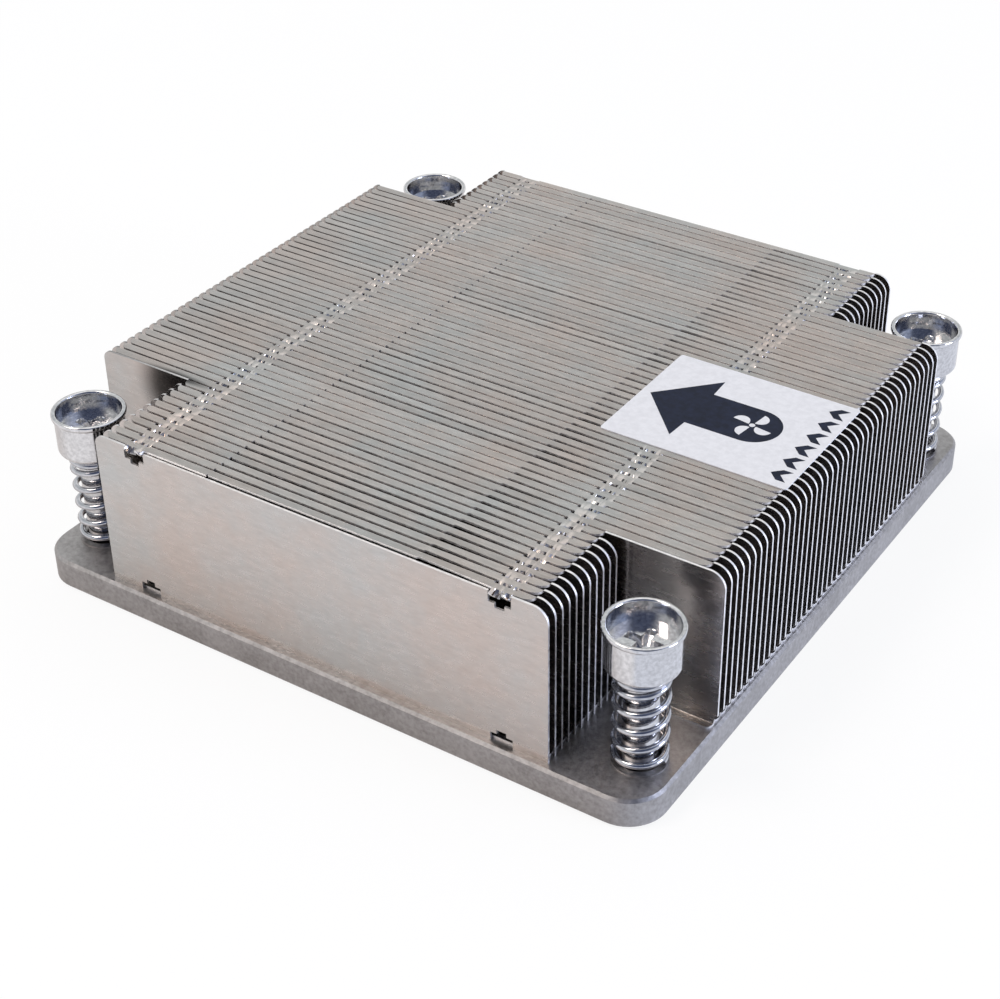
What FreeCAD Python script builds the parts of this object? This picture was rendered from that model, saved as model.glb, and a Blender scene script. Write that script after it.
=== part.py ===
"""Passive CPU heatsink for a 1U server: a base plate, a stack of zipper fins and four captive
spring screws.

Frame: X along the air channels (air enters at +X), Y across the fin stack, Z up.
The origin is at the centre of the base plate's underside.  All lengths are in millimetres.
"""
import FreeCAD
import Part
import math
import os

V = FreeCAD.Vector

# Screw pattern and base plate
screw_spacing_x = 80.0
screw_spacing_y = 75.0
screw_margin_x = 5.0          # screw axis to the base plate's side edges
screw_margin_y = 7.5          # screw axis to the base plate's front and back edges
base_thickness = 4.1
base_corner_radius = 5.0
base_edge_break = 0.35
seat_boss_height = 0.2        # raised ring that each spring stands on
seat_boss_margin = 0.25       # boss past the spring's outside
retainer_web = 1.5            # base metal left above each retaining ring

# Fin stack
fin_top_height = 25.5         # base underside to the tops of the fins
fin_pitch = 1.41
sheet_thickness = 0.3
fold_bevel = 0.25             # outside of the folds along the top and bottom edges
flange_corner_cut_x = 1.4     # corners of the folded flanges' free edges
flange_corner_cut_y = 0.85
flange_gap = 0.12             # flange edge to the back of the fin before it
front_short_count = 11        # counts the end panel
long_fin_count = 42
back_short_count = 10
long_fin_overhang = 0.25      # long fins past the base plate at each end
short_fin_clearance = 3.0     # short fin ends to the screw heads' rims
stack_shift_x = -0.4          # stack centre against the base plate's centre
outlet_corner_radius = 1.3    # fin corner at the -X end, top
inlet_corner_radius = 2.0     # fin corner at the +X end, top
inlet_foot_cut_x = 1.1        # foot corner cut at the +X end of the long fins
inlet_foot_cut_z = 1.45
outlet_flange_setback = 2.0   # fold stops short of the fin's -X end
inlet_flange_setback = 2.4    # fold stops short of the fin's +X end
panel_drop = 0.35             # end panel's top edge below the folds

# Zipper locks, where each fin hooks into the one before it
lock_inset = 6.2              # lock rows to the ends of the short fins
lock_slot_width = 3.0
lock_slot_depth = 1.4
lock_throat_width = 1.3       # narrow part of the slot below the tab
lock_throat_depth = 0.6
lock_slot_reach = 0.5         # slot's reach into the fold, from the fin's back
lock_tab_width = 1.2
lock_tab_offset = 0.4         # tab centre towards -X from the slot's centre
lock_tab_reach = 0.75         # tab past its flange's edge
lock_tab_drop = 0.55          # tab tip below its flange
foot_slot_width = 2.9
foot_slot_depth = 1.1
foot_throat_width = 1.5
foot_throat_depth = 0.8

# Captive screws
rim_radius = 4.7
rim_height = 0.55
head_radius = 4.4
head_wall = 0.6
head_height = 6.1
head_foot_chamfer = 0.8
head_recess_depth = 2.5
rim_below_fins = 2.3          # screw rims below the fin tops
cross_recess_span = 4.0
cross_recess_width = 0.95
cross_recess_depth = 1.7
shank_radius = 2.2
hole_clearance = 0.4
groove_depth = 0.5
thread_radius = 2.0
thread_chamfer = 0.35
tip_recess = 0.3              # screw tips inside the base plate's underside

# Retaining rings
ring_thickness = 0.6
ring_play = 0.04              # between the ring and each side of its groove
ring_bore_play = 0.06
ring_lug_depth = 0.8
ring_lug_width = 1.45
ring_radius = 3.3
ring_mouth_width = 2.9
ring_pocket_clearance = 0.4

# Springs
spring_wire = 0.75
spring_shank_clearance = 0.15
spring_end_gap = 0.03
spring_active_turns = 4
spring_closed_pitch = 0.8
spring_steps_per_turn = 10
spring_wire_sides = 5

# Airflow label
label_length = 25.0
label_width = 20.4
label_thickness = 0.12
label_centre_x = 30.4
label_corner_radius = 0.4

# Sizes that follow from those above
base_length = screw_spacing_x + 2 * screw_margin_x
base_width = screw_spacing_y + 2 * screw_margin_y
fin_count = front_short_count + long_fin_count + back_short_count
stack_front_y = -((fin_count - 1) * fin_pitch + sheet_thickness) / 2
long_fin_length = base_length + 2 * long_fin_overhang
short_fin_length = screw_spacing_x - 2 * (rim_radius + short_fin_clearance)
flange_reach = fin_pitch - sheet_thickness - flange_gap
rim_top = fin_top_height - rim_below_fins
head_foot = rim_top - head_height
spring_seat = base_thickness + seat_boss_height
spring_radius = shank_radius + spring_shank_clearance + spring_wire / 2
seat_boss_radius = spring_radius + spring_wire / 2 + seat_boss_margin
pocket_ceiling = base_thickness - retainer_web
groove_radius = shank_radius - groove_depth
screw_places = {
    "front_left": V(-screw_spacing_x / 2, -screw_spacing_y / 2, 0),
    "front_right": V(screw_spacing_x / 2, -screw_spacing_y / 2, 0),
    "back_left": V(-screw_spacing_x / 2, screw_spacing_y / 2, 0),
    "back_right": V(screw_spacing_x / 2, screw_spacing_y / 2, 0),
}


def save(name, shape):
    """Write one sub-part as a STEP file and print its size."""
    solids = len(shape.Solids)
    print(f"{name}: {solids} solid(s), volume {shape.Volume:.2f}, valid {shape.isValid()}")
    shape.exportStep(f"parts/{name}.step")


def block(x_low, x_high, y_low, y_high, z_low, z_high):
    """Box between two corners."""
    return Part.makeBox(x_high - x_low, y_high - y_low, z_high - z_low, V(x_low, y_low, z_low))


def rounded_plate(length, width, z_low, thickness, radius):
    """Flat plate centred on Z with rounded corners."""
    plate = block(-length / 2, length / 2, -width / 2, width / 2, z_low, z_low + thickness)
    corners = [e for e in plate.Edges if abs(e.Vertexes[0].Z - e.Vertexes[1].Z) > thickness / 2]
    return plate.makeFillet(radius, corners)


def turned(profile):
    """Solid of revolution about Z from (radius, height) points."""
    points = [V(radius, 0, height) for radius, height in profile]
    section = Part.Face(Part.makePolygon(points + points[:1]))
    return section.revolve(V(0, 0, 0), V(0, 0, 1), 360)


def base_plate():
    """Base with rounded corners, spring seats, screw holes and ring pockets."""
    plate = rounded_plate(base_length, base_width, 0, base_thickness, base_corner_radius)
    rims = [e for e in plate.Edges if e.BoundBox.ZLength < base_thickness / 2]
    plate = plate.makeChamfer(base_edge_break, rims)
    for place in screw_places.values():
        boss = Part.makeCylinder(seat_boss_radius, spring_seat, place)
        plate = plate.fuse(boss)
    for place in screw_places.values():
        hole = Part.makeCylinder(shank_radius + hole_clearance, spring_seat, place)
        pocket = Part.makeCylinder(ring_radius + ring_pocket_clearance, pocket_ceiling, place)
        plate = plate.cut(hole.fuse(pocket))
    return plate.removeSplitter()


def fin_outline(left, right, top, foot_cut):
    """Closed outline of a fin's upright sheet in the XZ plane, without its slots."""
    bottom = base_thickness
    left_arc = V(left + outlet_corner_radius, 0, top - outlet_corner_radius)
    right_arc = V(right - inlet_corner_radius, 0, top - inlet_corner_radius)
    half = math.sqrt(0.5)
    left_end = V(left, 0, left_arc.z)
    left_mid = left_arc + V(-outlet_corner_radius * half, 0, outlet_corner_radius * half)
    left_top = V(left_arc.x, 0, top)
    right_top = V(right_arc.x, 0, top)
    right_mid = right_arc + V(inlet_corner_radius * half, 0, inlet_corner_radius * half)
    right_end = V(right, 0, right_arc.z)
    edges = [
        Part.Arc(left_end, left_mid, left_top).toShape(),
        Part.makeLine(left_top, right_top),
        Part.Arc(right_top, right_mid, right_end).toShape(),
    ]
    if foot_cut:
        heel = V(right, 0, bottom + inlet_foot_cut_z)
        toe = V(right - inlet_foot_cut_x, 0, bottom)
        edges.append(Part.makeLine(right_end, heel))
        edges.append(Part.makeLine(heel, toe))
    else:
        toe = V(right, 0, bottom)
        edges.append(Part.makeLine(right_end, toe))
    corner = V(left, 0, bottom)
    edges.append(Part.makeLine(toe, corner))
    edges.append(Part.makeLine(corner, left_end))
    return Part.Wire(edges)


def stepped_slot(centre, edge_z, inward, width, depth, throat_width, throat_depth, y_low):
    """Cutter for a T-shaped slot that opens at a fin's top or bottom edge."""
    back = sheet_thickness
    ends = sorted([edge_z, edge_z + inward * depth])
    throat_ends = sorted([edge_z, edge_z + inward * (depth + throat_depth)])
    mouth = block(centre - width / 2, centre + width / 2, y_low, back, *ends)
    throat_left = centre - throat_width / 2
    throat = block(throat_left, throat_left + throat_width, 0, back, *throat_ends)
    return mouth.fuse(throat)


def prism(points, along):
    """Solid from a flat outline pushed along a vector."""
    return Part.Face(Part.makePolygon(points + points[:1])).extrude(along)


def fold_cutter(left, right, edge_z, inward):
    """Cutter that bevels the outside of a fold along a fin's top or bottom edge."""
    back = sheet_thickness
    section = [
        V(left, back, edge_z),
        V(left, back - fold_bevel, edge_z),
        V(left, back, edge_z + inward * fold_bevel),
    ]
    return prism(section, V(right - left, 0, 0))


def flange(left, right, z_low):
    """Folded flange that reaches towards -Y, the corners of its free edge cut off."""
    free_edge = -flange_reach
    cut_x = flange_corner_cut_x
    cut_y = flange_corner_cut_y
    outline = [
        V(left, sheet_thickness, z_low),
        V(left, free_edge + cut_y, z_low),
        V(left + cut_x, free_edge, z_low),
        V(right - cut_x, free_edge, z_low),
        V(right, free_edge + cut_y, z_low),
        V(right, sheet_thickness, z_low),
    ]
    return prism(outline, V(0, 0, sheet_thickness))


def lock_tab(centre):
    """Tongue on a top flange's edge that dips into the slot of the fin before it."""
    left = centre - lock_tab_offset - lock_tab_width / 2
    root = -flange_reach
    top = fin_top_height
    tip = root - lock_tab_reach
    low = top - lock_tab_drop
    side = [
        V(left, root, top),
        V(left, tip, low),
        V(left, tip, low - sheet_thickness),
        V(left, root, top - sheet_thickness),
    ]
    return prism(side, V(lock_tab_width, 0, 0))


def fin(length, foot_cut, top_flange_length):
    """One fin with its front face on Y = 0: upright sheet, folds, slots and tabs."""
    left = stack_shift_x - length / 2
    right = stack_shift_x + length / 2
    top = fin_top_height
    sheet = Part.Face(fin_outline(left, right, top, foot_cut)).extrude(V(0, sheet_thickness, 0))
    flange_left = stack_shift_x - top_flange_length / 2 + outlet_flange_setback
    flange_right = stack_shift_x + top_flange_length / 2 - inlet_flange_setback
    foot_left = left + outlet_flange_setback
    foot_right = right - inlet_flange_setback
    body = sheet.fuse([
        flange(flange_left, flange_right, top - sheet_thickness),
        flange(foot_left, foot_right, base_thickness),
    ])
    cutters = [
        fold_cutter(flange_left, flange_right, top, -1),
        fold_cutter(foot_left, foot_right, base_thickness, 1),
    ]
    tabs = []
    for centre in lock_centres():
        slot_back = sheet_thickness - lock_slot_reach
        cutters.append(top_slot(centre, top, slot_back))
        cutters.append(foot_slot(centre))
        tabs.append(lock_tab(centre))
    return body.cut(cutters).fuse(tabs).removeSplitter()


def lock_centres():
    """Places of the two lock rows along X."""
    reach = short_fin_length / 2 - lock_inset
    return [stack_shift_x - reach, stack_shift_x + reach]


def top_slot(centre, top, y_low):
    """Slot for the next fin's tab, at the top edge."""
    return stepped_slot(
        centre, top, -1, lock_slot_width, lock_slot_depth, lock_throat_width, lock_throat_depth, y_low
    )


def foot_slot(centre):
    """Slot at the bottom edge."""
    return stepped_slot(
        centre,
        base_thickness,
        1,
        foot_slot_width,
        foot_slot_depth,
        foot_throat_width,
        foot_throat_depth,
        0,
    )


def end_panel():
    """First sheet of the stack: flat, with bare slots and a slightly lower top edge."""
    left = stack_shift_x - short_fin_length / 2
    right = stack_shift_x + short_fin_length / 2
    top = fin_top_height - panel_drop
    sheet = Part.Face(fin_outline(left, right, top, False)).extrude(V(0, sheet_thickness, 0))
    for centre in lock_centres():
        sheet = sheet.cut([top_slot(centre, top, 0), foot_slot(centre)])
    return sheet


def at_index(shape, index):
    """Copy of a fin at its place in the stack, counted from the front."""
    placed = shape.copy()
    placed.translate(V(0, stack_front_y + index * fin_pitch, 0))
    return placed


def captive_screw(place):
    """Cup-headed shoulder screw with a ring groove and a plain thread."""
    shoulder_end = pocket_ceiling + ring_play
    groove_end = pocket_ceiling - ring_thickness - ring_play
    bore = head_radius - head_wall
    floor = rim_top - head_recess_depth
    profile = [
        (0, floor),
        (bore, floor),
        (bore, rim_top),
        (rim_radius, rim_top),
        (rim_radius, rim_top - rim_height),
        (head_radius, rim_top - rim_height - (rim_radius - head_radius)),
        (head_radius, head_foot + head_foot_chamfer),
        (head_radius - head_foot_chamfer, head_foot),
        (shank_radius, head_foot),
        (shank_radius, shoulder_end),
        (groove_radius, shoulder_end),
        (groove_radius, groove_end),
        (thread_radius, groove_end),
        (thread_radius, tip_recess + thread_chamfer),
        (thread_radius - thread_chamfer, tip_recess),
        (0, tip_recess),
    ]
    screw = turned(profile)
    span = cross_recess_span / 2
    width = cross_recess_width / 2
    bottom = floor - cross_recess_depth
    slots = [
        block(-span, span, -width, width, bottom, floor),
        block(-width, width, -span, span, bottom, floor),
    ]
    screw = screw.cut(slots)
    screw.translate(place)
    return screw


def retaining_ring(place):
    """Open ring with three lugs that grip the screw's groove."""
    inner = groove_radius + ring_bore_play
    relief = inner + ring_lug_depth
    z_low = pocket_ceiling - ring_thickness
    outer_disc = Part.makeCylinder(ring_radius, ring_thickness, V(0, 0, z_low))
    ring = outer_disc.cut(Part.makeCylinder(relief, ring_thickness, V(0, 0, z_low)))
    half_lug = ring_lug_width / 2
    half_mouth = ring_mouth_width / 2
    lug_root = (relief + ring_radius) / 2
    for angle in (90, 180, 270):
        lug = block(0, lug_root, -half_lug, half_lug, z_low, pocket_ceiling)
        lug.rotate(V(0, 0, 0), V(0, 0, 1), angle)
        ring = ring.fuse(lug)
    mouth = block(0, ring_radius, -half_mouth, half_mouth, z_low, pocket_ceiling)
    bore = Part.makeCylinder(inner, ring_thickness, V(0, 0, z_low))
    ring = ring.cut([mouth, bore]).removeSplitter()
    ring.translate(place)
    return ring


def spring_height(turn, total_turns, low, high):
    """Wire centre height along a spring with one closed turn at each end."""
    rise = (high - low - 2 * spring_closed_pitch) / spring_active_turns
    if turn < 1:
        return low + spring_closed_pitch * turn
    if turn > total_turns - 1:
        return high - spring_closed_pitch * (total_turns - turn)
    return low + spring_closed_pitch + rise * (turn - 1)


def spring(place):
    """Compression spring as a ruled loft between polygon sections along its helix."""
    total_turns = spring_active_turns + 2
    low = spring_seat + spring_end_gap + spring_wire / 2
    high = head_foot - spring_end_gap - spring_wire / 2
    steps = total_turns * spring_steps_per_turn
    sections = []
    for step in range(steps + 1):
        turn = step / spring_steps_per_turn
        centre_z = spring_height(turn, total_turns, low, high)
        around = FreeCAD.Rotation(V(0, 0, 1), 360 * turn)
        points = []
        for side in range(spring_wire_sides):
            angle = 2 * math.pi * side / spring_wire_sides
            radius = spring_radius + spring_wire / 2 * math.cos(angle)
            points.append(around.multVec(V(radius, 0, centre_z + spring_wire / 2 * math.sin(angle))))
        sections.append(Part.makePolygon(points + points[:1]))
    coil = Part.makeLoft(sections, True, True)
    coil.translate(place)
    return coil


def airflow_label():
    """Sticker laid flat on the fin tops near the air inlet."""
    label = rounded_plate(label_length, label_width, fin_top_height, label_thickness, label_corner_radius)
    label.translate(V(label_centre_x, 0, 0))
    return label


os.makedirs("parts", exist_ok=True)
save("base_plate", base_plate())

short_fin = fin(short_fin_length, False, short_fin_length)
long_fin = fin(long_fin_length, True, long_fin_length)
first_long_fin = fin(long_fin_length, True, short_fin_length)
first_long = front_short_count
first_back = first_long + long_fin_count

save("end_panel", at_index(end_panel(), 0))
save("front_short_fins", Part.makeCompound([at_index(short_fin, i) for i in range(1, first_long)]))
save("long_fin_01", at_index(first_long_fin, first_long))
for index in range(first_long + 1, first_back):
    save(f"long_fin_{index - first_long + 1:02d}", at_index(long_fin, index))
save("back_short_fins", Part.makeCompound([at_index(short_fin, i) for i in range(first_back, fin_count)]))

save("airflow_label", airflow_label())
for corner, place in screw_places.items():
    save(f"captive_screw_{corner}", captive_screw(place))
    save(f"retaining_ring_{corner}", retaining_ring(place))
    save(f"spring_{corner}", spring(place))
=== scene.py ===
import math

import bmesh
import bpy
import numpy as np
from mathutils import Matrix, Vector


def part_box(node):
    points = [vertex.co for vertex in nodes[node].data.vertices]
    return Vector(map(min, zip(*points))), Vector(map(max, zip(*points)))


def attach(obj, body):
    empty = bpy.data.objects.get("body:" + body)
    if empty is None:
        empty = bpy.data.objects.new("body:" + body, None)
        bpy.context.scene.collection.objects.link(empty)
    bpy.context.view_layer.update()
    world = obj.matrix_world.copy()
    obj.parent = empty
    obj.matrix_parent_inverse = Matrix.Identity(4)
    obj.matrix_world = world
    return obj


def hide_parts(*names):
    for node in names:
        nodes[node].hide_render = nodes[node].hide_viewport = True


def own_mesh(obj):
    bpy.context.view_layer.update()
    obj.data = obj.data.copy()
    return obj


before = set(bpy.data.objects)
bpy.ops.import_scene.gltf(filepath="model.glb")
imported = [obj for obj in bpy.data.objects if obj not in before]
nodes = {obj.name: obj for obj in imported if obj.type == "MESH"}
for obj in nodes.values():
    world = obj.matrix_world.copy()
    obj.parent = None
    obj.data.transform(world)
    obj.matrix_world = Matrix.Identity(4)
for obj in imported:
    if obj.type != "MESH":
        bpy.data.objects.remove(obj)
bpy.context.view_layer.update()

mm = 0.001
weldDistance = 0.002 * mm        # points closer than this become one
hair = 1e-8                      # metres, less than any distance in the object
noiseMost = {"From_Min": 0.3, "From_Max": 0.7}     # where nearly all values of a noise lie
sheetSharp, roundSharp = 40, 45  # degrees at which an edge stops being shaded smooth
corners = ["front_left", "front_right", "back_left", "back_right"]
longFins = sorted(name for name in nodes if name.startswith("long_fin_"))
print("frame loaded:", len(nodes), "nodes")


def linear(hexColour):
    # each sRGB channel is turned to linear light by the sRGB curve
    channels = [int(hexColour[i:i + 2], 16) / 255 for i in (1, 3, 5)]
    return [c / 12.92 if c <= 0.04045 else ((c + 0.055) / 1.055) ** 2.4 for c in channels] + [1.0]


def addNode(tree, kind, settings=None, stops=None, **inputs):
    # one node with its settings, its ramp colours and its sockets, each given a value or a link from another
    # node; Base_Color stands for the socket "Base Color", and n0, n1 for sockets that share a name
    node = tree.nodes.new(kind)
    for key, value in (settings or {}).items():
        setattr(node, key, value)
    for key, value in inputs.items():
        socket = node.inputs[int(key[1:]) if key[1:].isdigit() else key.replace("_", " ")]
        if isinstance(value, bpy.types.Node):
            value = next(out for out in value.outputs if out.enabled)
        if isinstance(value, bpy.types.NodeSocket):
            tree.links.new(value, socket)
        else:
            socket.default_value = value
    if stops:
        elements = node.color_ramp.elements
        while len(elements) < len(stops):
            elements.new(0.5)
        for element, (place, colour) in zip(elements, stops):
            element.position = place
            element.color = linear(colour)
    return node


def newMaterial(name):
    material = bpy.data.materials.new(name)
    material.use_nodes = True
    material.node_tree.nodes.clear()
    return material, material.node_tree


def addPiece(name, mesh, body, slotName, replaced, *materials):
    # a finished piece at the origin that rides a body and stands for CAD nodes
    mesh.name = name
    mesh.materials.clear()
    for material in materials:
        mesh.materials.append(material)
    piece = bpy.data.objects.new(name, mesh)
    bpy.context.scene.collection.objects.link(piece)
    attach(piece, body)
    if replaced:
        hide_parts(*replaced)
    return piece


def gridFaces(rows, columns, closedColumns=False):
    # quads between neighbouring points of a grid whose points are numbered row by row
    lastColumn = columns if closedColumns else columns - 1
    i, j = np.meshgrid(np.arange(rows - 1), np.arange(lastColumn), indexing="ij")
    jNext = (j + 1) % columns
    quads = [i * columns + j, (i + 1) * columns + j, (i + 1) * columns + jNext, i * columns + jNext]
    return np.stack([q.ravel() for q in quads], axis=1)


def weldedMesh(name, vertices, faces, outwards, sharpDegrees=None):
    # a mesh whose doubled points are merged and whose thin leftovers are gone
    mesh = bpy.data.meshes.new(name)
    mesh.from_pydata(vertices.tolist(), [], [list(face) for face in faces])
    shape = bmesh.new()
    shape.from_mesh(mesh)
    bmesh.ops.remove_doubles(shape, verts=shape.verts, dist=weldDistance)
    bmesh.ops.dissolve_degenerate(shape, edges=shape.edges, dist=weldDistance)
    bmesh.ops.delete(shape, geom=[v for v in shape.verts if not v.link_faces], context="VERTS")
    if outwards:
        bmesh.ops.recalc_face_normals(shape, faces=shape.faces)
    shape.to_mesh(mesh)
    shape.free()
    if sharpDegrees:
        mesh.shade_smooth()
        mesh.set_sharp_from_angle(angle=math.radians(sharpDegrees))
    return mesh


sheetSet = {
    "name": "nickelPlatedSheet",
    "warm": "#c7bbb4",
    "cool": "#c0bfbd",
    "stops": (0.35, 0.65),       # values of the cloud that are plain warm and plain cool
    "cloudMm": 14,               # soft patches of tone
    "cloud": {"Detail": 5.0, "Roughness": 0.65},
    "streakMm": (2.2, 0.6),      # rolling marks along X, length and spacing; the real ones are finer
    "streak": {"Detail": 3.0, "Roughness": 0.6},
    "streakTone": (0.92, 1.06),  # brightness of the dullest and of the brightest marks
    "toneSpread": 0.10,          # difference in brightness from fin to fin
    "foldReach": 1.05 * mm,      # a fin's fold lies this far in front of its sheet and shares its tone
    "roughness": (0.20, 0.30),
    "ripple": {"Strength": 0.15, "Distance": 0.03 * mm},
    "paintedReflection": {                  # painted dark reflection: a dark patch on the outlet end of the first long fin
        "place": (-33.5 * mm, 23.0 * mm),    # along X and up
        "reach": (7.5 * mm, 1.2 * mm, 8.5 * mm),
        "soft": (0.35, 1.0),     # shares of the reach where it starts to fade and where it is gone
        "dark": 0.12,
    },
}


def nickelSheet():
    # Nickel-plated aluminium strip, rolled and stamped: a satin metal with faint rolling marks and cloudy
    # tone, which goes dark between two fins because light is lost at each bounce. A dark reflection is
    # painted on the outlet end of the first long fin.
    s = sheetSet
    material, tree = newMaterial(s["name"])
    place = addNode(tree, "ShaderNodeTexCoord").outputs["Object"]
    cloud = addNode(tree, "ShaderNodeTexNoise", Vector=place, Scale=1 / (s["cloudMm"] * mm), **s["cloud"])
    stops = list(zip(s["stops"], (s["warm"], s["cool"])))
    colour = addNode(tree, "ShaderNodeValToRGB", stops=stops, Fac=cloud)
    perLength, perSpacing = (1 / (size * mm) for size in s["streakMm"])
    along = addNode(tree, "ShaderNodeMapping", Vector=place, Scale=(perLength, perSpacing, perSpacing))
    streak = addNode(tree, "ShaderNodeTexNoise", Vector=along, Scale=1.0, **s["streak"])
    yPlace = addNode(tree, "ShaderNodeSeparateXYZ", Vector=place).outputs["Y"]
    start = finPlaces[0] - s["foldReach"]
    fromFront = addNode(tree, "ShaderNodeMath", {"operation": "SUBTRACT"}, n0=yPlace, n1=start)
    inPitches = addNode(tree, "ShaderNodeMath", {"operation": "DIVIDE"}, n0=fromFront, n1=finPitch)
    number = addNode(tree, "ShaderNodeMath", {"operation": "FLOOR"}, n0=inPitches)
    chance = addNode(tree, "ShaderNodeTexWhiteNoise", {"noise_dimensions": "1D"}, W=number).outputs["Value"]
    spread = s["toneSpread"]
    tone = addNode(tree, "ShaderNodeMapRange", Value=chance, To_Min=1 - spread, To_Max=1 + spread / 2)
    low, high = s["streakTone"]
    streakTone = addNode(tree, "ShaderNodeMapRange", Value=streak, To_Min=low, To_Max=high, **noiseMost)
    both = addNode(tree, "ShaderNodeMath", {"operation": "MULTIPLY"}, n0=tone, n1=streakTone)
    # painted reflection: the colour is darkened in a soft patch on the first long fin, standing in for a dark
    # reflection
    paintedReflection = s["paintedReflection"]
    paintedReflectionCentre = (paintedReflection["place"][0], finPlaces[firstLong], paintedReflection["place"][1])
    fromPaintedReflection = addNode(
        tree, "ShaderNodeMapping", Vector=place, Scale=[1 / r for r in paintedReflection["reach"]],
        Location=[-c / r for c, r in zip(paintedReflectionCentre, paintedReflection["reach"])],
    )
    away = addNode(tree, "ShaderNodeVectorMath", {"operation": "LENGTH"}, n0=fromPaintedReflection).outputs["Value"]
    reflectionShade = addNode(
        tree, "ShaderNodeMapRange", {"interpolation_type": "SMOOTHSTEP"}, Value=away,
        From_Min=paintedReflection["soft"][0], From_Max=paintedReflection["soft"][1], To_Min=paintedReflection["dark"], To_Max=1.0,
    )
    reflectionShaded = addNode(tree, "ShaderNodeMath", {"operation": "MULTIPLY"}, n0=both, n1=reflectionShade)
    toned = addNode(tree, "ShaderNodeVectorMath", {"operation": "SCALE"}, n0=colour, Scale=reflectionShaded)
    low, high = s["roughness"]
    satin = addNode(tree, "ShaderNodeMapRange", Value=streak, To_Min=low, To_Max=high, **noiseMost)
    ripple = addNode(tree, "ShaderNodeBump", Height=streak, **s["ripple"])
    shader = addNode(
        tree, "ShaderNodeBsdfPrincipled", Base_Color=toned, Metallic=1.0, Roughness=satin, Normal=ripple
    )
    addNode(tree, "ShaderNodeOutputMaterial", Surface=shader)
    return material


castSet = {
    "name": "nickelPlatedColdForging",
    "dark": "#93908f",
    "pale": "#b3b0b0",
    "stops": (0.38, 0.62),       # values of the mixed grain that are plain dark and plain pale
    "cloudMm": 7,                # stained patches
    "cloud": {"Detail": 6.0, "Roughness": 0.7},
    "grainMm": 0.55,             # the real grain is about 0.1 mm, too fine to show
    "grain": {"Detail": 3.0, "Roughness": 0.6},
    "grainShare": 0.55,          # of the mottle, the rest is cloud
    "roughness": (0.36, 0.50),
    "pebbles": {"Strength": 0.45, "Distance": 0.05 * mm},
}


def nickelForging():
    # Nickel-plated cold-forged aluminium, tumbled: dull, fine pebbled grain over cloudy grey
    s = castSet
    material, tree = newMaterial(s["name"])
    place = addNode(tree, "ShaderNodeTexCoord").outputs["Object"]
    cloud = addNode(tree, "ShaderNodeTexNoise", Vector=place, Scale=1 / (s["cloudMm"] * mm), **s["cloud"])
    grain = addNode(tree, "ShaderNodeTexNoise", Vector=place, Scale=1 / (s["grainMm"] * mm), **s["grain"])
    mixed = addNode(tree, "ShaderNodeMix", {"data_type": "FLOAT"}, Factor=s["grainShare"], A=cloud, B=grain)
    stops = list(zip(s["stops"], (s["dark"], s["pale"])))
    colour = addNode(tree, "ShaderNodeValToRGB", stops=stops, Fac=mixed)
    low, high = s["roughness"]
    dull = addNode(tree, "ShaderNodeMapRange", Value=grain, To_Min=low, To_Max=high, **noiseMost)
    pebbles = addNode(tree, "ShaderNodeBump", Height=grain, **s["pebbles"])
    shader = addNode(
        tree, "ShaderNodeBsdfPrincipled", Base_Color=colour, Metallic=1.0, Roughness=dull, Normal=pebbles
    )
    addNode(tree, "ShaderNodeOutputMaterial", Surface=shader)
    return material


turnedSet = {
    "screwNickelTurned": {"colours": ("#c4c3c4", "#e0dfe0"), "roughness": (0.07, 0.16), "markMm": 0.5},
    "springNickelDrawn": {"colours": ("#b2b3b8", "#c9c9cd"), "roughness": (0.05, 0.12), "markMm": 0.6},
    "shearedSheetEdge": {
        "colours": ("#e4e2e1", "#f6f4f3"), "roughness": (0.40, 0.60), "markMm": 0.7,
        "outletTone": 0.35,              # share of its brightness at the outlet end, which is drawn darker
        "outletReach": (-45 * mm, -24 * mm),
    },
    "oiledRingSteel": {"colours": ("#55555a", "#6c6c70"), "roughness": (0.30, 0.45), "markMm": 0.8},
}
markStops = (0.35, 0.65)         # values of the marks, and of paper's fibres, that are plain dark and pale


def brightMetal(name):
    # Bright metal with marks of its making, drawn coarser than the real ones, which are too fine to show:
    # mirror-like plate on the turned screws and the drawn wire, a rougher bright line where the sheet was
    # sheared, and dark oiled steel for the rings
    s = turnedSet[name]
    material, tree = newMaterial(name)
    place = addNode(tree, "ShaderNodeTexCoord").outputs["Object"]
    perMark = 1 / (s["markMm"] * mm)
    marks = addNode(tree, "ShaderNodeTexNoise", Vector=place, Scale=perMark, Detail=4.0, Roughness=0.6)
    colour = addNode(tree, "ShaderNodeValToRGB", stops=list(zip(markStops, s["colours"])), Fac=marks)
    if "outletTone" in s:
        start, end = s["outletReach"]
        outletShare = s["outletTone"]
        xPlace = addNode(tree, "ShaderNodeSeparateXYZ", Vector=place).outputs["X"]
        # colour darker towards the outlet end, by place along X
        tone = addNode(tree, "ShaderNodeMapRange", Value=xPlace, From_Min=start, From_Max=end, To_Min=outletShare)
        colour = addNode(tree, "ShaderNodeVectorMath", {"operation": "SCALE"}, n0=colour, Scale=tone)
    low, high = s["roughness"]
    gloss = addNode(tree, "ShaderNodeMapRange", Value=marks, To_Min=low, To_Max=high, **noiseMost)
    ripple = addNode(tree, "ShaderNodeBump", Height=marks, Strength=0.25, Distance=0.03 * mm)
    shader = addNode(
        tree, "ShaderNodeBsdfPrincipled", Base_Color=colour, Metallic=1.0, Roughness=gloss, Normal=ripple
    )
    addNode(tree, "ShaderNodeOutputMaterial", Surface=shader)
    return material


printedSet = {
    "coatedPaper": {"colours": ("#d9dadd", "#e2e3e6"), "roughness": 0.5, "shine": 0.5, "fibreMm": 0.7},
    "printingInk": {"colours": ("#0f1628", "#182036"), "roughness": 0.6, "shine": 0.2, "fibreMm": 0.9},
}


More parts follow.
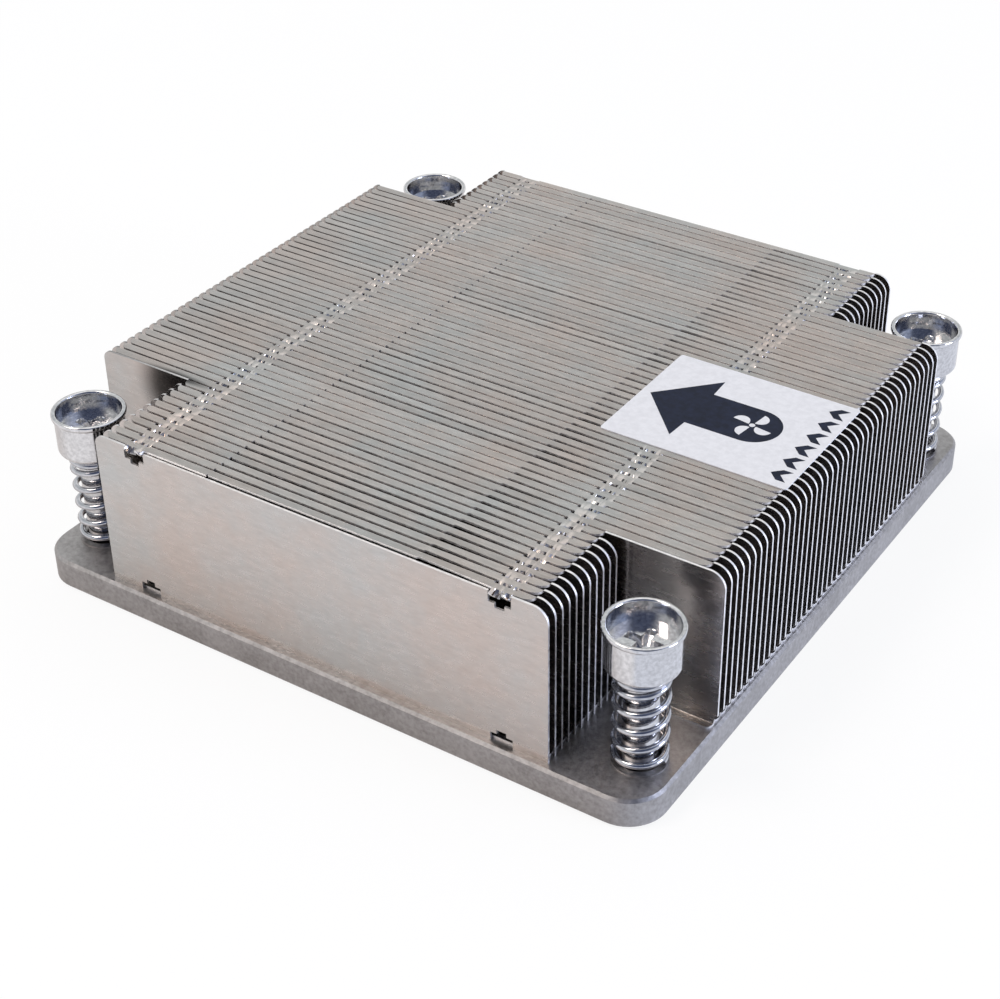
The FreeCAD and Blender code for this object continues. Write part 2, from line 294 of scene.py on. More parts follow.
def printed(name):
    # Coated paper and the ink on it: matte, with a faint mottle from the fibres, drawn coarser than real ones
    s = printedSet[name]
    material, tree = newMaterial(name)
    place = addNode(tree, "ShaderNodeTexCoord").outputs["Object"]
    fibre = addNode(tree, "ShaderNodeTexNoise", Vector=place, Scale=1 / (s["fibreMm"] * mm), Detail=4.0)
    colour = addNode(tree, "ShaderNodeValToRGB", stops=list(zip(markStops, s["colours"])), Fac=fibre)
    shader = addNode(
        tree, "ShaderNodeBsdfPrincipled", Base_Color=colour, Roughness=s["roughness"],
        Specular_IOR_Level=s["shine"],
    )
    addNode(tree, "ShaderNodeOutputMaterial", Surface=shader)
    return material


shortLow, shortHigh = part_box("front_short_fins")
longLow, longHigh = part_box(longFins[1])          # a plain one, as the first has shorter folds
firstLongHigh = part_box(longFins[0])[1]
panelLow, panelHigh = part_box("end_panel")
labelLow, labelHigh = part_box("airflow_label")
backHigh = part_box("back_short_fins")[1]

stackDepth = backHigh.y - panelHigh.y            # from the end panel to the last fin
finCount = 1 + round(stackDepth / (longHigh.y - firstLongHigh.y))
sheetThickness = panelHigh.y - panelLow.y
finPitch = stackDepth / (finCount - 1)
finPlaces = panelLow.y + finPitch * np.arange(finCount)      # front face of each sheet
firstLong = round((firstLongHigh.y - panelHigh.y) / finPitch)
stackCentre = (longLow.x + longHigh.x) / 2

sheetMetal = nickelSheet()
forgedMetal = nickelForging()
screwMetal = brightMetal("screwNickelTurned")
springMetal = brightMetal("springNickelDrawn")
cutMetal = brightMetal("shearedSheetEdge")
ringMetal = brightMetal("oiledRingSteel")
paper = printed("coatedPaper")
ink = printed("printingInk")

kinds = {
    "base": forgedMetal, "airflow": paper,
    "captive": screwMetal, "spring": springMetal, "retaining": ringMetal,
}
for name, node in nodes.items():
    for slot in node.material_slots:
        slot.material = kinds.get(name.split("_")[0], sheetMetal)
print("materials ready")


finSet = {
    "seed": 7,                     # of the uneven gaps and tabs
    "gap": (0.03 * mm, 0.13 * mm),           # least and most from a fold's free edge to the sheet before it
    "middleGap": (0.02 * mm, 0.14 * mm),     # what the gap gains over the middle stretch
    "openShare": 0.75,             # how far chance alone opens a gap
    "frontOpen": 0.7,              # how much wider the gap is at the end panel
    "frontFins": 17,               # how many fins that takes to fall to none
    "bend": 0.18 * mm,             # radius of the bend at the middle of the sheet
    "inletCorner": 2.0 * mm,       # rounded top corner at the +X end
    "outletCorner": 1.3 * mm,
    "inletSetback": 2.4 * mm,      # folds stop short of the sheet's ends
    "footSetback": 0.45 * mm,      # the fold at the foot towards +X
    "outletSetback": 1.3 * mm,
    "foldRound": 1.5 * mm,         # length of the rounded end of a top fold towards +X
    "footRound": 0.6 * mm,
    "outletRound": 0.9 * mm,
    "middleHalf": 15.1 * mm,       # half the stretch where the fold's edge is set back
    "stepNotch": (0.25 * mm, 0.16 * mm),     # small notch in the edge at each end of that stretch
    "panelLug": 0.3 * mm,          # end panel's top edge rises by this much outside the locks
    "footCut": (1.1 * mm, 1.45 * mm),        # corner cut off the end panel's foot, along X and up
    "lockInset": 6.2 * mm,         # lock rows to the ends of the short fins
    "slotHalf": 1.5 * mm,
    "slotDepth": 1.4 * mm,
    "throatHalf": 0.65 * mm,
    "throatDepth": 0.6 * mm,
    "slotInFold": 0.15 * mm,       # how far the slot runs into the flat of the fold
    "footSlotDepth": 1.1 * mm,
    "tabs": [                      # left, right, length, and radians down from the fold at its left and right
        (-1.1 * mm, 0.1 * mm, 0.9 * mm, (0.25, 0.95)),
        (0.45 * mm, 1.4 * mm, 0.65 * mm, (0.1, 0.75)),
    ],
    "tabShare": (0.85, 1.0),       # of its length, from fin to fin
    "tabSpread": 0.25,             # radians, from fin to fin
    "tabWrinkle": 0.6,             # radians, from place to place in one tab
    "tabSlopes": (-0.05, 1.5),     # radians, the least and most slope of a tab
    "tear": 0.03 * mm,             # width of the cut at each end of a fold
    "cornerPoints": 13,            # points round a sheet's corner, along a tab and round a bend
    "tabPoints": 5,
    "bendPoints": 5,
}
lockPlaces = [shortLow.x + finSet["lockInset"], shortHigh.x - finSet["lockInset"]]


def cornerLoss(distance, radius):
    # height that a rounded corner takes off at a distance from the sheet's end: r - sqrt(r^2 - (r - d)^2)
    inside = radius - np.clip(distance, 0, radius)
    return radius - np.sqrt(radius ** 2 - inside ** 2)


def foldGrowth(x, left, right, rightRound):
    # share of its width that a fold has at x: a quarter of an ellipse at each end, full width between them
    share = np.clip(np.minimum((x - left) / finSet["outletRound"], (right - x) / rightRound), 0, 1)
    return np.sqrt(1 - (1 - share) ** 2)


def finStations(left, right, folds):
    # places along X where the blank's outline bends, closer together on its round stretches
    s = finSet
    quarter = 1 - np.cos(np.linspace(0, math.pi / 2, s["cornerPoints"]))
    tear = np.array([-1, 0]) * s["tear"]
    stations = [left + quarter * s["outletCorner"], right - quarter * s["inletCorner"]]
    stations += [[right - s["footCut"][0]]]
    for foldLeft, foldRight in folds:
        stations += [foldLeft + quarter[::2] * s["outletRound"], foldRight - quarter[::2] * s["foldRound"]]
        stations += [foldLeft + tear, foldRight - tear]
    for inset in (0, s["stepNotch"][0]):
        stations += [stackCentre + side * (s["middleHalf"] - inset) + tear for side in (-1, 1)]
    halves = np.array([s["slotHalf"], s["throatHalf"]])
    for lock in lockPlaces:
        stations += [lock - halves, lock + halves]
        for tabLeft, tabRight, length, angles in s["tabs"]:
            across = np.linspace(tabLeft, tabRight, s["tabPoints"])
            stations += [lock + tabLeft + tear, lock + across, lock + tabRight - tear]
    stations = np.unique(np.concatenate(stations).round(7))          # to 0.1 micron
    return stations[(stations >= left - hair / 10) & (stations <= right + hair / 10)]


def finMiddle(left, right, bottom, top, topFold, footCut, flat, number, random):
    # The flat blank of a fin is a grid of stations x along it and path lengths s up and down from its middle,
    # each clipped to the blank's outline. Past a bend line the path turns with radius R: y falls by
    # R (1 - cos(s / R)) and the height grows by R sin(s / R), then the fold runs flat towards -Y, and the
    # tabs run on down at a slope.
    f = finSet
    bend, arc = f["bend"], f["bend"] * math.pi / 2
    outer = bend + sheetThickness / 2
    half, middle = (top - bottom) / 2, (top + bottom) / 2
    straight = half - outer
    byChance = f["openShare"] * random.random() ** 2
    openness = min(1, byChance + f["frontOpen"] * max(0, 1 - number / f["frontFins"]))
    gap, middleGap = (low + openness * (high - low) for low, high in (f["gap"], f["middleGap"]))
    edge = arc + finPitch - gap - sheetThickness / 2 - bend
    footFold = (left + f["outletSetback"], right - f["footSetback"])
    x = finStations(left, right, [topFold, footFold])

    loss = np.maximum(cornerLoss(x - left, f["outletCorner"]), cornerLoss(right - x, f["inletCorner"]))
    upper = half - loss
    lower = np.full_like(x, half)
    if footCut:
        lower -= f["footCut"][1] * np.clip(1 - (right - x) / f["footCut"][0], 0, 1)
    topBent = (x >= topFold[0] - hair) & (x <= topFold[1] + hair) & (not flat)
    footBent = (x >= footFold[0] - hair) & (x <= footFold[1] + hair) & (not flat)
    intoMiddle = f["middleHalf"] - np.abs(x - stackCentre) + hair
    notch = f["stepNotch"][1] * ((intoMiddle >= 0) & (intoMiddle < f["stepNotch"][0]))
    setback = middleGap * (intoMiddle >= 0) + notch
    topGrowth, footGrowth = foldGrowth(x, *topFold, f["foldRound"]), foldGrowth(x, *footFold, f["footRound"])
    upper = np.where(topBent, half + topGrowth * (edge - outer) - setback, upper)
    lower = np.where(footBent, half + footGrowth * (edge - outer), lower)
    if flat:
        lugStart = lockPlaces[1] - stackCentre + f["slotHalf"] - hair
        upper = upper + f["panelLug"] * (np.abs(x - stackCentre) > lugStart)
    slope = np.zeros_like(x)
    for lock in lockPlaces:
        for tabLeft, tabRight, length, angles in f["tabs"]:
            tab = (x >= lock + tabLeft - hair) & (x <= lock + tabRight + hair) & topBent
            twist = np.interp(x, [lock + tabLeft, lock + tabRight], angles)
            upper = upper + length * tab * random.uniform(*f["tabShare"])
            wrinkle = random.uniform(-1, 1, len(x)) * f["tabWrinkle"]
            down = twist + wrinkle + random.uniform(-1, 1) * f["tabSpread"]
            slope = slope + tab * np.clip(down, *f["tabSlopes"])

    bendSteps = straight + np.linspace(0, arc, f["bendPoints"])
    slotEnd = straight + arc + f["slotInFold"]
    tabSteps = straight + edge + f["tabs"][0][2] * np.array([0, 0.5, 1])
    slotFloor, footFloor = half - f["slotDepth"], half - f["footSlotDepth"]
    throatFloor, footThroat = slotFloor - f["throatDepth"], footFloor - f["throatDepth"]
    below = [-straight - edge, -slotEnd, *-bendSteps[::-1], -footFloor, -footThroat]
    above = [throatFloor, slotFloor, *bendSteps, slotEnd, *tabSteps]
    path = np.clip(np.array(below + [0.0] + above)[:, None], -lower, upper)

    bent = np.where(path > 0, topBent, footBent)
    beyond = np.maximum(np.abs(path) - straight, 0)
    turn = np.minimum(beyond, arc) / bend
    slide = np.maximum(beyond - arc, 0)
    run = np.where(path > 0, np.maximum(beyond - edge, 0), 0)
    y = -bend * (1 - np.cos(turn)) - slide + run * (1 - np.cos(slope))
    height = straight + bend * np.sin(turn) - run * np.sin(slope)
    y = np.where(bent, y, 0) + sheetThickness / 2
    height = np.where(bent & (beyond > 0), height, np.abs(path))
    points = np.stack([np.broadcast_to(x, path.shape), y, middle + np.sign(path) * height], axis=-1)

    quads = gridFaces(*path.shape)
    level = path.ravel()[quads]
    along = points[..., 0].ravel()[quads].mean(axis=1)
    narrow = np.ptp(points[..., 0].ravel()[quads], axis=1) < f["tear"] + weldDistance / 10
    bothKinds = np.ptp(bent.ravel()[quads].astype(int), axis=1) > 0
    torn = narrow & bothKinds & (np.abs(level).max(axis=1) > straight + hair)
    cut = (np.ptp(level, axis=1) < hair) | torn
    level = level.mean(axis=1)
    slotLimit, footLimit = (half, half) if flat else (slotEnd, straight + arc)
    for lock in lockPlaces:
        aside = np.abs(along - lock)
        wide, thin = aside < f["slotHalf"], aside < f["throatHalf"]
        cut |= wide & (level > slotFloor) & (level < slotLimit)
        cut |= thin & (level > throatFloor) & (level < slotLimit)
        cut |= wide & (level < -footFloor) & (level > -footLimit)
        cut |= thin & (level < -footThroat) & (level > -footLimit)
    return points.reshape(-1, 3), quads[~cut]


def thickFins(name, replaced, middles, places):
    # the middle surfaces of one or more fins at their places, given the sheet's thickness to both sides
    grids, faces = zip(*middles)
    counts = np.cumsum([0] + [len(grid) for grid in grids])
    points = np.concatenate([grid + (0, place, 0) for grid, place in zip(grids, places)])
    quads = np.concatenate([face + first for face, first in zip(faces, counts)])
    middle = bpy.data.objects.new(name + "Middle", weldedMesh(name + "Middle", points, quads.tolist(), False))
    middle.data.materials.append(sheetMetal)
    middle.data.materials.append(cutMetal)
    bpy.context.scene.collection.objects.link(middle)
    thickness = middle.modifiers.new("thickness", "SOLIDIFY")
    thickness.thickness = sheetThickness
    thickness.offset = 0
    thickness.material_offset_rim = 1
    mesh = bpy.data.meshes.new_from_object(middle.evaluated_get(bpy.context.evaluated_depsgraph_get()))
    bpy.data.objects.remove(middle)
    mesh.shade_smooth()
    mesh.set_sharp_from_angle(angle=math.radians(sheetSharp))
    rims = [p.material_index for p in mesh.polygons]
    piece = addPiece(name, mesh, "heatsink", "fin_metal", replaced, sheetMetal, cutMetal)
    piece.data.polygons.foreach_set("material_index", rims)


def makeFins():
    random = np.random.default_rng(finSet["seed"])
    bottom, top = longLow.z, longHigh.z
    shortFold = (shortLow.x + finSet["outletSetback"], shortHigh.x - finSet["inletSetback"])
    longFold = (longLow.x + finSet["outletSetback"], longHigh.x - finSet["inletSetback"])
    panel = finMiddle(panelLow.x, panelHigh.x, bottom, panelHigh.z, shortFold, False, True, 0, random)
    thickFins("endPanelVisual", ["end_panel"], [panel], finPlaces[:1])
    firstBack = firstLong + len(longFins)
    for group, numbers in (
        ("front_short_fins", range(1, firstLong)),
        ("back_short_fins", range(firstBack, finCount)),
    ):
        middles = [
            finMiddle(shortLow.x, shortHigh.x, bottom, top, shortFold, False, False, number, random)
            for number in numbers
        ]
        thickFins(group + "Visual", [group], middles, finPlaces[numbers])
    for number, node in enumerate(longFins):
        fold = longFold if number else shortFold
        middle = finMiddle(longLow.x, longHigh.x, bottom, top, fold, True, False, firstLong + number, random)
        thickFins(node + "Visual", [node], [middle], [finPlaces[firstLong + number]])


makeFins()
print("fins built")


screwSet = {
    "lip": 0.32 * mm,              # rounding of the cup's rim
    "edge": 0.14 * mm,             # rounding of the other edges
    "cup": 4.1 * mm,               # inside radius of the cup at its rim, and where its wall meets the floor
    "cupFloor": 3.85 * mm,
    "cupDepth": 2.4 * mm,
    "head": 4.4 * mm,
    "rimHeight": 0.55 * mm,
    "headHeight": 6.1 * mm,
    "footChamfer": 0.8 * mm,
    "shank": 2.2 * mm,
    "tip": 0.3 * mm,
    "crossSpan": 4.2 * mm,
    "crossWidth": 1.0 * mm,
    "crossDepth": 1.6 * mm,
    "crossSoft": 0.12 * mm,        # slope of the cross's walls
    "crossFall": (1.15, 0.75),     # share of its depth at the centre, and what that loses towards its ends
    "floorRings": [(0, 0.6, 30), (0.65, 0.98, 8)],   # shares of the floor's radius and how many circles
    "around": 192,
}


def softProfile(points, radii, steps=5, most=0.45):
    # each corner of a polyline becomes a quadratic curve between two points set back along its sides, by a
    # radius or by the largest share of a side that it may take
    points = np.array(points, float)
    t = np.linspace(0, 1, steps)[:, None]
    soft = [points[:1]]
    for before, corner, after, radius in zip(points[:-2], points[1:-1], points[2:], radii):
        arms = np.array([before - corner, after - corner])
        lengths = np.linalg.norm(arms, axis=1)
        start, end = corner + arms * (np.minimum(radius, lengths * most) / lengths)[:, None]
        soft.append((1 - t) ** 2 * start + 2 * t * (1 - t) * corner + t ** 2 * end)
    return np.concatenate(soft + [points[-1:]])


def makeScrew(corner):
    # Turned body: a rounded outline (radius, height) carried round the screw's axis. The cup's floor is a
    # disc of circles that sinks inside a cross, deepest at its centre.
    node = "captive_screw_" + corner
    low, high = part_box(node)
    centre = (low + high) / 2
    s = screwSet
    rim, top, lip, edge = (high.x - low.x) / 2, high.z, s["lip"], s["edge"]
    foot, floor = top - s["headHeight"], top - s["cupDepth"]
    underRim = top - s["rimHeight"]
    outline = softProfile(
        [
            (s["cupFloor"], floor), (s["cup"], top), (rim, top), (rim, underRim),
            (s["head"], underRim - (rim - s["head"])), (s["head"], foot + s["footChamfer"]),
            (s["head"] - s["footChamfer"], foot), (s["shank"], foot), (s["shank"], low.z + s["tip"]),
            (s["shank"] - s["tip"], low.z), (0.0, low.z),
        ],
        [lip, lip, edge, edge / 3, 2 * edge, edge, edge, edge, edge],
    )
    rings = np.concatenate([np.linspace(*shares) for shares in s["floorRings"]]) * s["cupFloor"]
    angle = np.linspace(0, 2 * math.pi, s["around"], endpoint=False)
    radius = np.concatenate([rings, outline[:, 0]])[:, None]
    x, y = radius * np.cos(angle), radius * np.sin(angle)
    across, along = np.minimum(abs(x), abs(y)), np.maximum(abs(x), abs(y))
    inCross = np.clip((s["crossWidth"] / 2 - across) / s["crossSoft"] + 0.5, 0, 1)
    inCross *= np.clip((s["crossSpan"] / 2 - along) / s["crossSoft"] + 0.5, 0, 1)
    middleShare, loss = s["crossFall"]
    sink = inCross * s["crossDepth"] * (middleShare - loss * along / (s["crossSpan"] / 2))
    height = np.concatenate([np.full(len(rings), floor), outline[:, 1]])[:, None]
    z = height - sink * (np.arange(len(radius)) < len(rings))[:, None]
    vertices = np.stack([x + centre.x, y + centre.y, z], axis=-1).reshape(-1, 3)
    mesh = weldedMesh(node, vertices, gridFaces(*x.shape, closedColumns=True), True, roundSharp)
    addPiece(node + "Visual", mesh, "screw_" + corner, "screw_nickel", [node], screwMetal)


springSet = {
    "outside": 6.7 * mm,           # as wide as the raised seat it stands on
    "wire": 0.8 * mm,
    "closedPitch": 0.85 * mm,
    "turns": 6,                    # one closed turn at each end
    "perTurn": 48,
    "sides": 14,
}


def makeSpring(corner):
    # A circle of wire carried round a helix, whose height climbs slowly in the first and last turn and evenly
    # between them
    node = "spring_" + corner
    low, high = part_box(node)
    centre = (low + high) / 2
    s = springSet
    wire, closed = s["wire"] / 2, s["closedPitch"]
    mean = s["outside"] / 2 - wire
    bottom, top = low.z + wire, high.z - wire
    turn = np.linspace(0, s["turns"], s["turns"] * s["perTurn"] + 1)
    climb = np.interp(turn, [0, 1, s["turns"] - 1, s["turns"]], [bottom, bottom + closed, top - closed, top])
    angle = 2 * math.pi * turn
    outward = np.stack([np.cos(angle), np.sin(angle), 0 * angle], axis=1)
    middle = outward * mean + np.stack([0 * angle + centre.x, 0 * angle + centre.y, climb], axis=1)
    ahead = np.gradient(middle, axis=0)
    upward = np.cross(ahead / np.linalg.norm(ahead, axis=1)[:, None], outward)
    side = np.linspace(0, 2 * math.pi, s["sides"], endpoint=False)[None, :, None]
    vertices = middle[:, None] + wire * (np.cos(side) * outward[:, None] + np.sin(side) * upward[:, None])
    faces = gridFaces(len(turn), s["sides"], closedColumns=True).tolist()
    ends = np.arange(s["sides"])
    faces += [ends.tolist(), (ends[::-1] + (len(turn) - 1) * s["sides"]).tolist()]
    mesh = weldedMesh(node, vertices.reshape(-1, 3), faces, True, roundSharp)
    piece = addPiece(node + "Visual", mesh, "heatsink", "spring_nickel", [node], springMetal)
    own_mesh(piece)


for corner in corners:
    makeScrew(corner)
    makeSpring(corner)
print("screws and springs built")


printSet = {
    "ink": 0.01 * mm,              # height of each layer of print
    "tip": 11.3 * mm,              # the arrow's places are measured from the label's middle, towards -X
    "barb": (4.6 * mm, 7.1 * mm),
    "neck": (4.4 * mm, 3.75 * mm),
    "tail": -2.85 * mm,            # middle of the round tail and of the fan mark
    "tailPoints": 33,
    "blades": 4,
    "bladePoints": 17,
    "bladeSpan": (0.55 * mm, 2.75 * mm),
    "bladeWidth": 1.2 * mm,
    "bladeTurn": 8,                # degrees
    "hub": 0.38 * mm,
    "hubPoints": 24,
    "chevronCount": 6,
    "chevronRow": -9.9 * mm,
    "chevronSpan": 15.6 * mm,
    "chevronHalf": 1.15 * mm,
    "chevronDeep": 1.15 * mm,
    "chevronThick": 1.25 * mm,
}


def printShape(name, outline, layer, material):
    # a flat closed slab with the given outline, its foot inside the sticker
    x, y = np.array(outline, float).T
    middle = (labelLow + labelHigh) / 2
    x, y = middle.x - x, middle.y + y
    count = len(x)
    ring = np.arange(count)
    foot, top = labelHigh.z - printSet["ink"], labelHigh.z + layer * printSet["ink"]
    vertices = np.concatenate([np.stack([x, y, 0 * x + z], axis=1) for z in (foot, top)])
    sides = np.stack([ring, (ring + 1) % count, (ring + 1) % count + count, ring + count], axis=1)
    faces = sides.tolist() + [ring[::-1].tolist(), (ring + count).tolist()]
    mesh = weldedMesh(name, vertices, faces, True)
    addPiece(name, mesh, "heatsink", "label_print", None, material)


def makePrint():
    # an arrow with a round tail, a fan mark in it and a row of chevrons, all pointing the way the air goes
    s = printSet
    neckX, neckY = s["neck"]
    barbX, barbY = s["barb"]
    turn = np.linspace(-math.pi / 2, math.pi / 2, s["tailPoints"])
    tail = np.stack([s["tail"] - neckY * np.cos(turn), neckY * np.sin(turn)], axis=1)
    head = [(neckX, neckY), (barbX, barbY), (s["tip"], 0), (barbX, -barbY), (neckX, -neckY)]
    printShape("labelArrow", np.concatenate([tail, head]), 1, ink)
    inner, outer = s["bladeSpan"]
    bow = np.linspace(0, math.pi, s["bladePoints"])
    along = (inner + outer) / 2 - (outer - inner) / 2 * np.cos(bow)      # half an ellipse along a spoke
    across = s["bladeWidth"] * np.sin(bow)
    for blade in range(s["blades"]):
        a = math.radians(360 / s["blades"] * blade + s["bladeTurn"])
        x, y = along * math.cos(a) - across * math.sin(a), along * math.sin(a) + across * math.cos(a)
        printShape(f"labelBlade{blade + 1}", np.stack([s["tail"] + x, y], axis=1), 2, paper)
    circle = np.linspace(0, 2 * math.pi, s["hubPoints"], endpoint=False)
    hub = np.stack([s["tail"] + s["hub"] * np.cos(circle), s["hub"] * np.sin(circle)], axis=1)
    printShape("labelHub", hub, 2, paper)
    row, half, deep, thick = (s["chevron" + part] for part in ("Row", "Half", "Deep", "Thick"))
    for number, y in enumerate(np.linspace(-0.5, 0.5, s["chevronCount"]) * s["chevronSpan"]):
        x = row + deep / 2
        chevron = [
            (x, y), (x - deep, y + half), (x - deep - thick, y + half),
            (x - thick, y), (x - deep - thick, y - half), (x - deep, y - half),
        ]
        printShape(f"labelChevron{number + 1}", chevron, 1, ink)


makePrint()
print("label printed")


stageSet = {
    "floorHalf": 3.0,              # metres
    "floorDrop": 0.02 * mm,        # keeps it clear of the base
    "floorColour": "#fcfcfc",
    "whiteShare": (0.88, 0.35, 0.95),    # plain white that the eye sees in it, and metal sees in most of it
                                         # and in its pale side
    "paleSide": (38 * mm, 45 * mm),      # along X, where it turns paler and cooler, in metal only
    "sideTint": "#eaeffb",
    "warmFrom": (-62 * mm, -44 * mm),    # along Y, where it turns warmer and dimmer, in metal only
    "warmTint": "#ada198",
    "sky": [                       # world's tone from the horizon (0) to overhead (1)
        (0.0, "#ffffff"), (0.22, "#e8e9e9"), (0.45, "#cbcfd1"), (0.62, "#cdd1d2"), (0.80, "#ffffff"),
    ],
    "skyStrength": 1.15,
    "darkSide": (0.45, -0.68, 0.58),     # towards the unlit front of the studio
    "darkReach": (0.55, 0.92),     # cosines to that where the dark starts and where it is full
    "darkColour": "#525b73",
    "coolSide": "#c6d6ff",         # world's tint towards +X
    "coolAcross": (0.1, 0.9),      # where it starts and where it is full, as a direction's X and Z
    "coolAbove": (0.18, 0.34),
}
lampSet = {                        # degrees, metres and watts
    "keyLight": {
        "azimuth": -40, "elevation": 58, "distance": 0.9, "size": 0.3, "watts": 2.8, "colour": "#fff0e4",
    },
    "coolLight": {
        "azimuth": 100, "elevation": 9, "distance": 0.7, "size": 0.22, "watts": 3.4, "colour": "#dae4ff",
    },
}


def makeFloor():
    # Pale sweep, matte painted: the eye and metal see it as part plain white, so that it keeps the object's
    # shadow. In metal it is warmer and dimmer from the object's front on, and paler and cooler towards +X.
    s = stageSet
    material, tree = newMaterial("paleSweep")
    seen = addNode(tree, "ShaderNodeLightPath").outputs
    toEye, toMetal, toPaleSide = s["whiteShare"]
    place = addNode(tree, "ShaderNodeTexCoord").outputs["Object"]
    spot = addNode(tree, "ShaderNodeSeparateXYZ", Vector=place).outputs
    start, end = s["paleSide"]
    onSide = addNode(tree, "ShaderNodeMapRange", Value=spot["X"], From_Min=start, From_Max=end)
    start, end = s["warmFrom"]
    fromFront = addNode(tree, "ShaderNodeMapRange", Value=spot["Y"], From_Min=start, From_Max=end)
    metalShare = addNode(tree, "ShaderNodeMapRange", Value=onSide, To_Min=toMetal, To_Max=toPaleSide)
    glossy, through = seen["Is Glossy Ray"], seen["Is Transmission Ray"]
    mirrored = addNode(tree, "ShaderNodeMath", {"operation": "MAXIMUM"}, n0=glossy, n1=through)
    inMetal = addNode(tree, "ShaderNodeMath", {"operation": "MULTIPLY"}, n0=mirrored, n1=metalShare)
    eye = seen["Is Camera Ray"]
    share = addNode(tree, "ShaderNodeMath", {"operation": "MULTIPLY_ADD"}, n0=eye, n1=toEye, n2=inMetal)
    plain = linear("#ffffff")
    inColour = {"data_type": "RGBA"}
    warmed = addNode(tree, "ShaderNodeMix", inColour, n0=fromFront, n6=plain, n7=linear(s["warmTint"]))
    pale = linear(s["sideTint"])
    cooled = addNode(tree, "ShaderNodeMix", inColour, n0=onSide, n6=warmed.outputs[2], n7=pale)
    tinted = addNode(tree, "ShaderNodeMix", inColour, n0=mirrored, n6=plain, n7=cooled.outputs[2])
    matte = addNode(tree, "ShaderNodeBsdfDiffuse", Color=linear(s["floorColour"]))
    white = addNode(tree, "ShaderNodeEmission", Color=tinted.outputs[2], Strength=1.0)
    mixed = addNode(tree, "ShaderNodeMixShader", n0=share, n1=matte, n2=white)
    addNode(tree, "ShaderNodeOutputMaterial", Surface=mixed)
    half, below = s["floorHalf"], -s["floorDrop"]
    outline = [(-half, -half, below), (half, -half, below), (half, half, below), (-half, half, below)]
    mesh = bpy.data.meshes.new("floor")
    mesh.from_pydata(outline, [], [(0, 1, 2, 3)])
    mesh.materials.append(material)
    floor = bpy.data.objects.new("floor", mesh)
    bpy.context.scene.collection.objects.link(floor)


def makeWorld():
    # a soft white room: white low down, greyer higher up, a white ceiling light, a darker front and cool
    # light from +X
    s = stageSet
    world = bpy.data.worlds.new("studio")
    bpy.context.scene.world = world
    world.use_nodes = True
    tree = world.node_tree
    tree.nodes.clear()
    towards = addNode(tree, "ShaderNodeTexCoord").outputs["Generated"]
    axes = addNode(tree, "ShaderNodeSeparateXYZ", Vector=towards)
    sky = addNode(tree, "ShaderNodeValToRGB", stops=s["sky"], Fac=axes.outputs["Z"])
    start, end = s["coolAcross"]
    fromRight = addNode(tree, "ShaderNodeMapRange", Value=axes.outputs["X"], From_Min=start, From_Max=end)
    start, end = s["coolAbove"]
    fromAbove = addNode(tree, "ShaderNodeMapRange", Value=axes.outputs["Z"], From_Min=start, From_Max=end)
    cool = addNode(tree, "ShaderNodeMath", {"operation": "MULTIPLY"}, n0=fromRight, n1=fromAbove)
    tinted = addNode(
        tree, "ShaderNodeMix", {"data_type": "RGBA", "blend_type": "MULTIPLY"},
        n0=cool, n6=sky, n7=linear(s["coolSide"]),
    )
    front = addNode(tree, "ShaderNodeVectorMath", {"operation": "DOT_PRODUCT"}, n0=towards, n1=s["darkSide"])
    start, end = s["darkReach"]
    inDark = addNode(
        tree, "ShaderNodeMapRange", {"interpolation_type": "SMOOTHSTEP"}, Value=front.outputs["Value"],
        From_Min=start, From_Max=end,
    )
    dark = linear(s["darkColour"])
    around = addNode(tree, "ShaderNodeMix", {"data_type": "RGBA"}, n0=inDark, n6=tinted.outputs[2], n7=dark)
    light = addNode(tree, "ShaderNodeBackground", Color=around.outputs[2], Strength=s["skyStrength"])
    addNode(tree, "ShaderNodeOutputWorld", Surface=light)


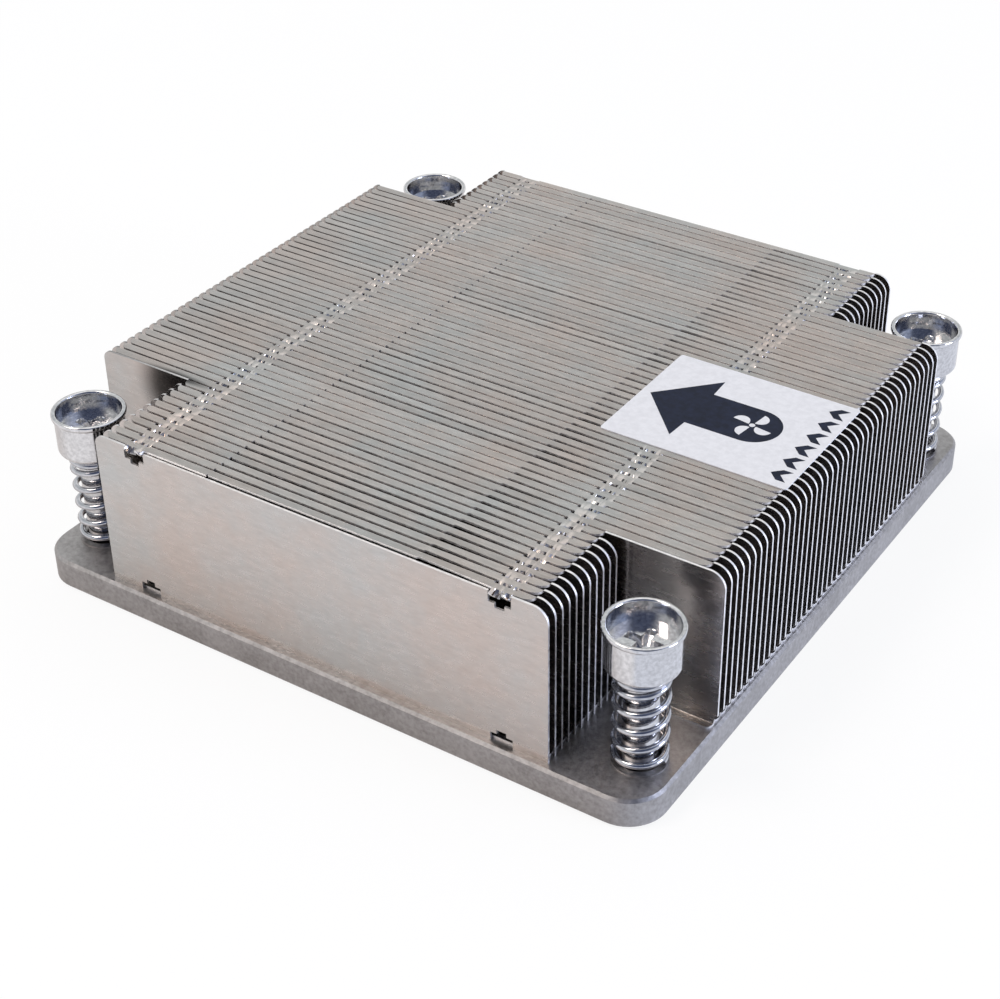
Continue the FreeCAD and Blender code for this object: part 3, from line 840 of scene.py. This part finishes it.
def addLamp(name):
    # a square soft box that looks at the object from the given azimuth and elevation in degrees
    s = lampSet[name]
    data = bpy.data.lights.new(name, "AREA")
    data.size = s["size"]
    data.energy = s["watts"]
    data.color = linear(s["colour"])[:3]
    lamp = bpy.data.objects.new(name, data)
    a, e = math.radians(s["azimuth"]), math.radians(s["elevation"])
    spot = Vector((math.sin(a) * math.cos(e), -math.cos(a) * math.cos(e), math.sin(e))) * s["distance"]
    lamp.location = spot
    lamp.rotation_euler = (-spot).to_track_quat("-Z", "Y").to_euler()
    bpy.context.scene.collection.objects.link(lamp)


cameraSet = {
    "azimuth": 32.683,
    "elevation": 33.407,
    "roll": -0.133,
    "offset": (-2.091, 8.028, 268.073),      # object's origin seen from the camera: right, down, ahead, in mm
    "sensorMm": 36.0,
    "focal": 1.980836,                       # focal length over the frame's width
    "centre": (0.537734, 0.454672),          # where the lens axis meets the frame, over its width
    "frameHeight": 0.999,                    # over its width
    "clip": (0.01, 20),                      # metres
}


def makeCamera():
    # right, down and back are the camera's axes: those of its azimuth and elevation, turned by its roll
    s = cameraSet
    a, e, r = (math.radians(s[k]) for k in ("azimuth", "elevation", "roll"))
    back = np.array([math.sin(a) * math.cos(e), -math.cos(a) * math.cos(e), math.sin(e)])
    level = np.array([math.cos(a), math.sin(a), 0.0])
    plumb = np.cross(-back, level)
    right = math.cos(r) * level - math.sin(r) * plumb
    down = math.sin(r) * level + math.cos(r) * plumb
    place = -np.array([right, down, -back]).T @ (np.array(s["offset"]) * mm)
    data = bpy.data.cameras.new("camera")
    data.sensor_width = s["sensorMm"]
    data.lens = s["focal"] * s["sensorMm"]
    data.shift_x = 0.5 - s["centre"][0]
    data.shift_y = s["centre"][1] - s["frameHeight"] / 2
    data.clip_start, data.clip_end = s["clip"]
    camera = bpy.data.objects.new("camera", data)
    camera.matrix_world = Matrix.Translation(place) @ Matrix(np.stack([right, -down, back], axis=1)).to_4x4()
    bpy.context.scene.collection.objects.link(camera)
    bpy.context.scene.camera = camera


bpy.context.scene.view_settings.view_transform = "Standard"
makeFloor()
makeWorld()
for lampName in lampSet:
    addLamp(lampName)
makeCamera()
print("stage ready")
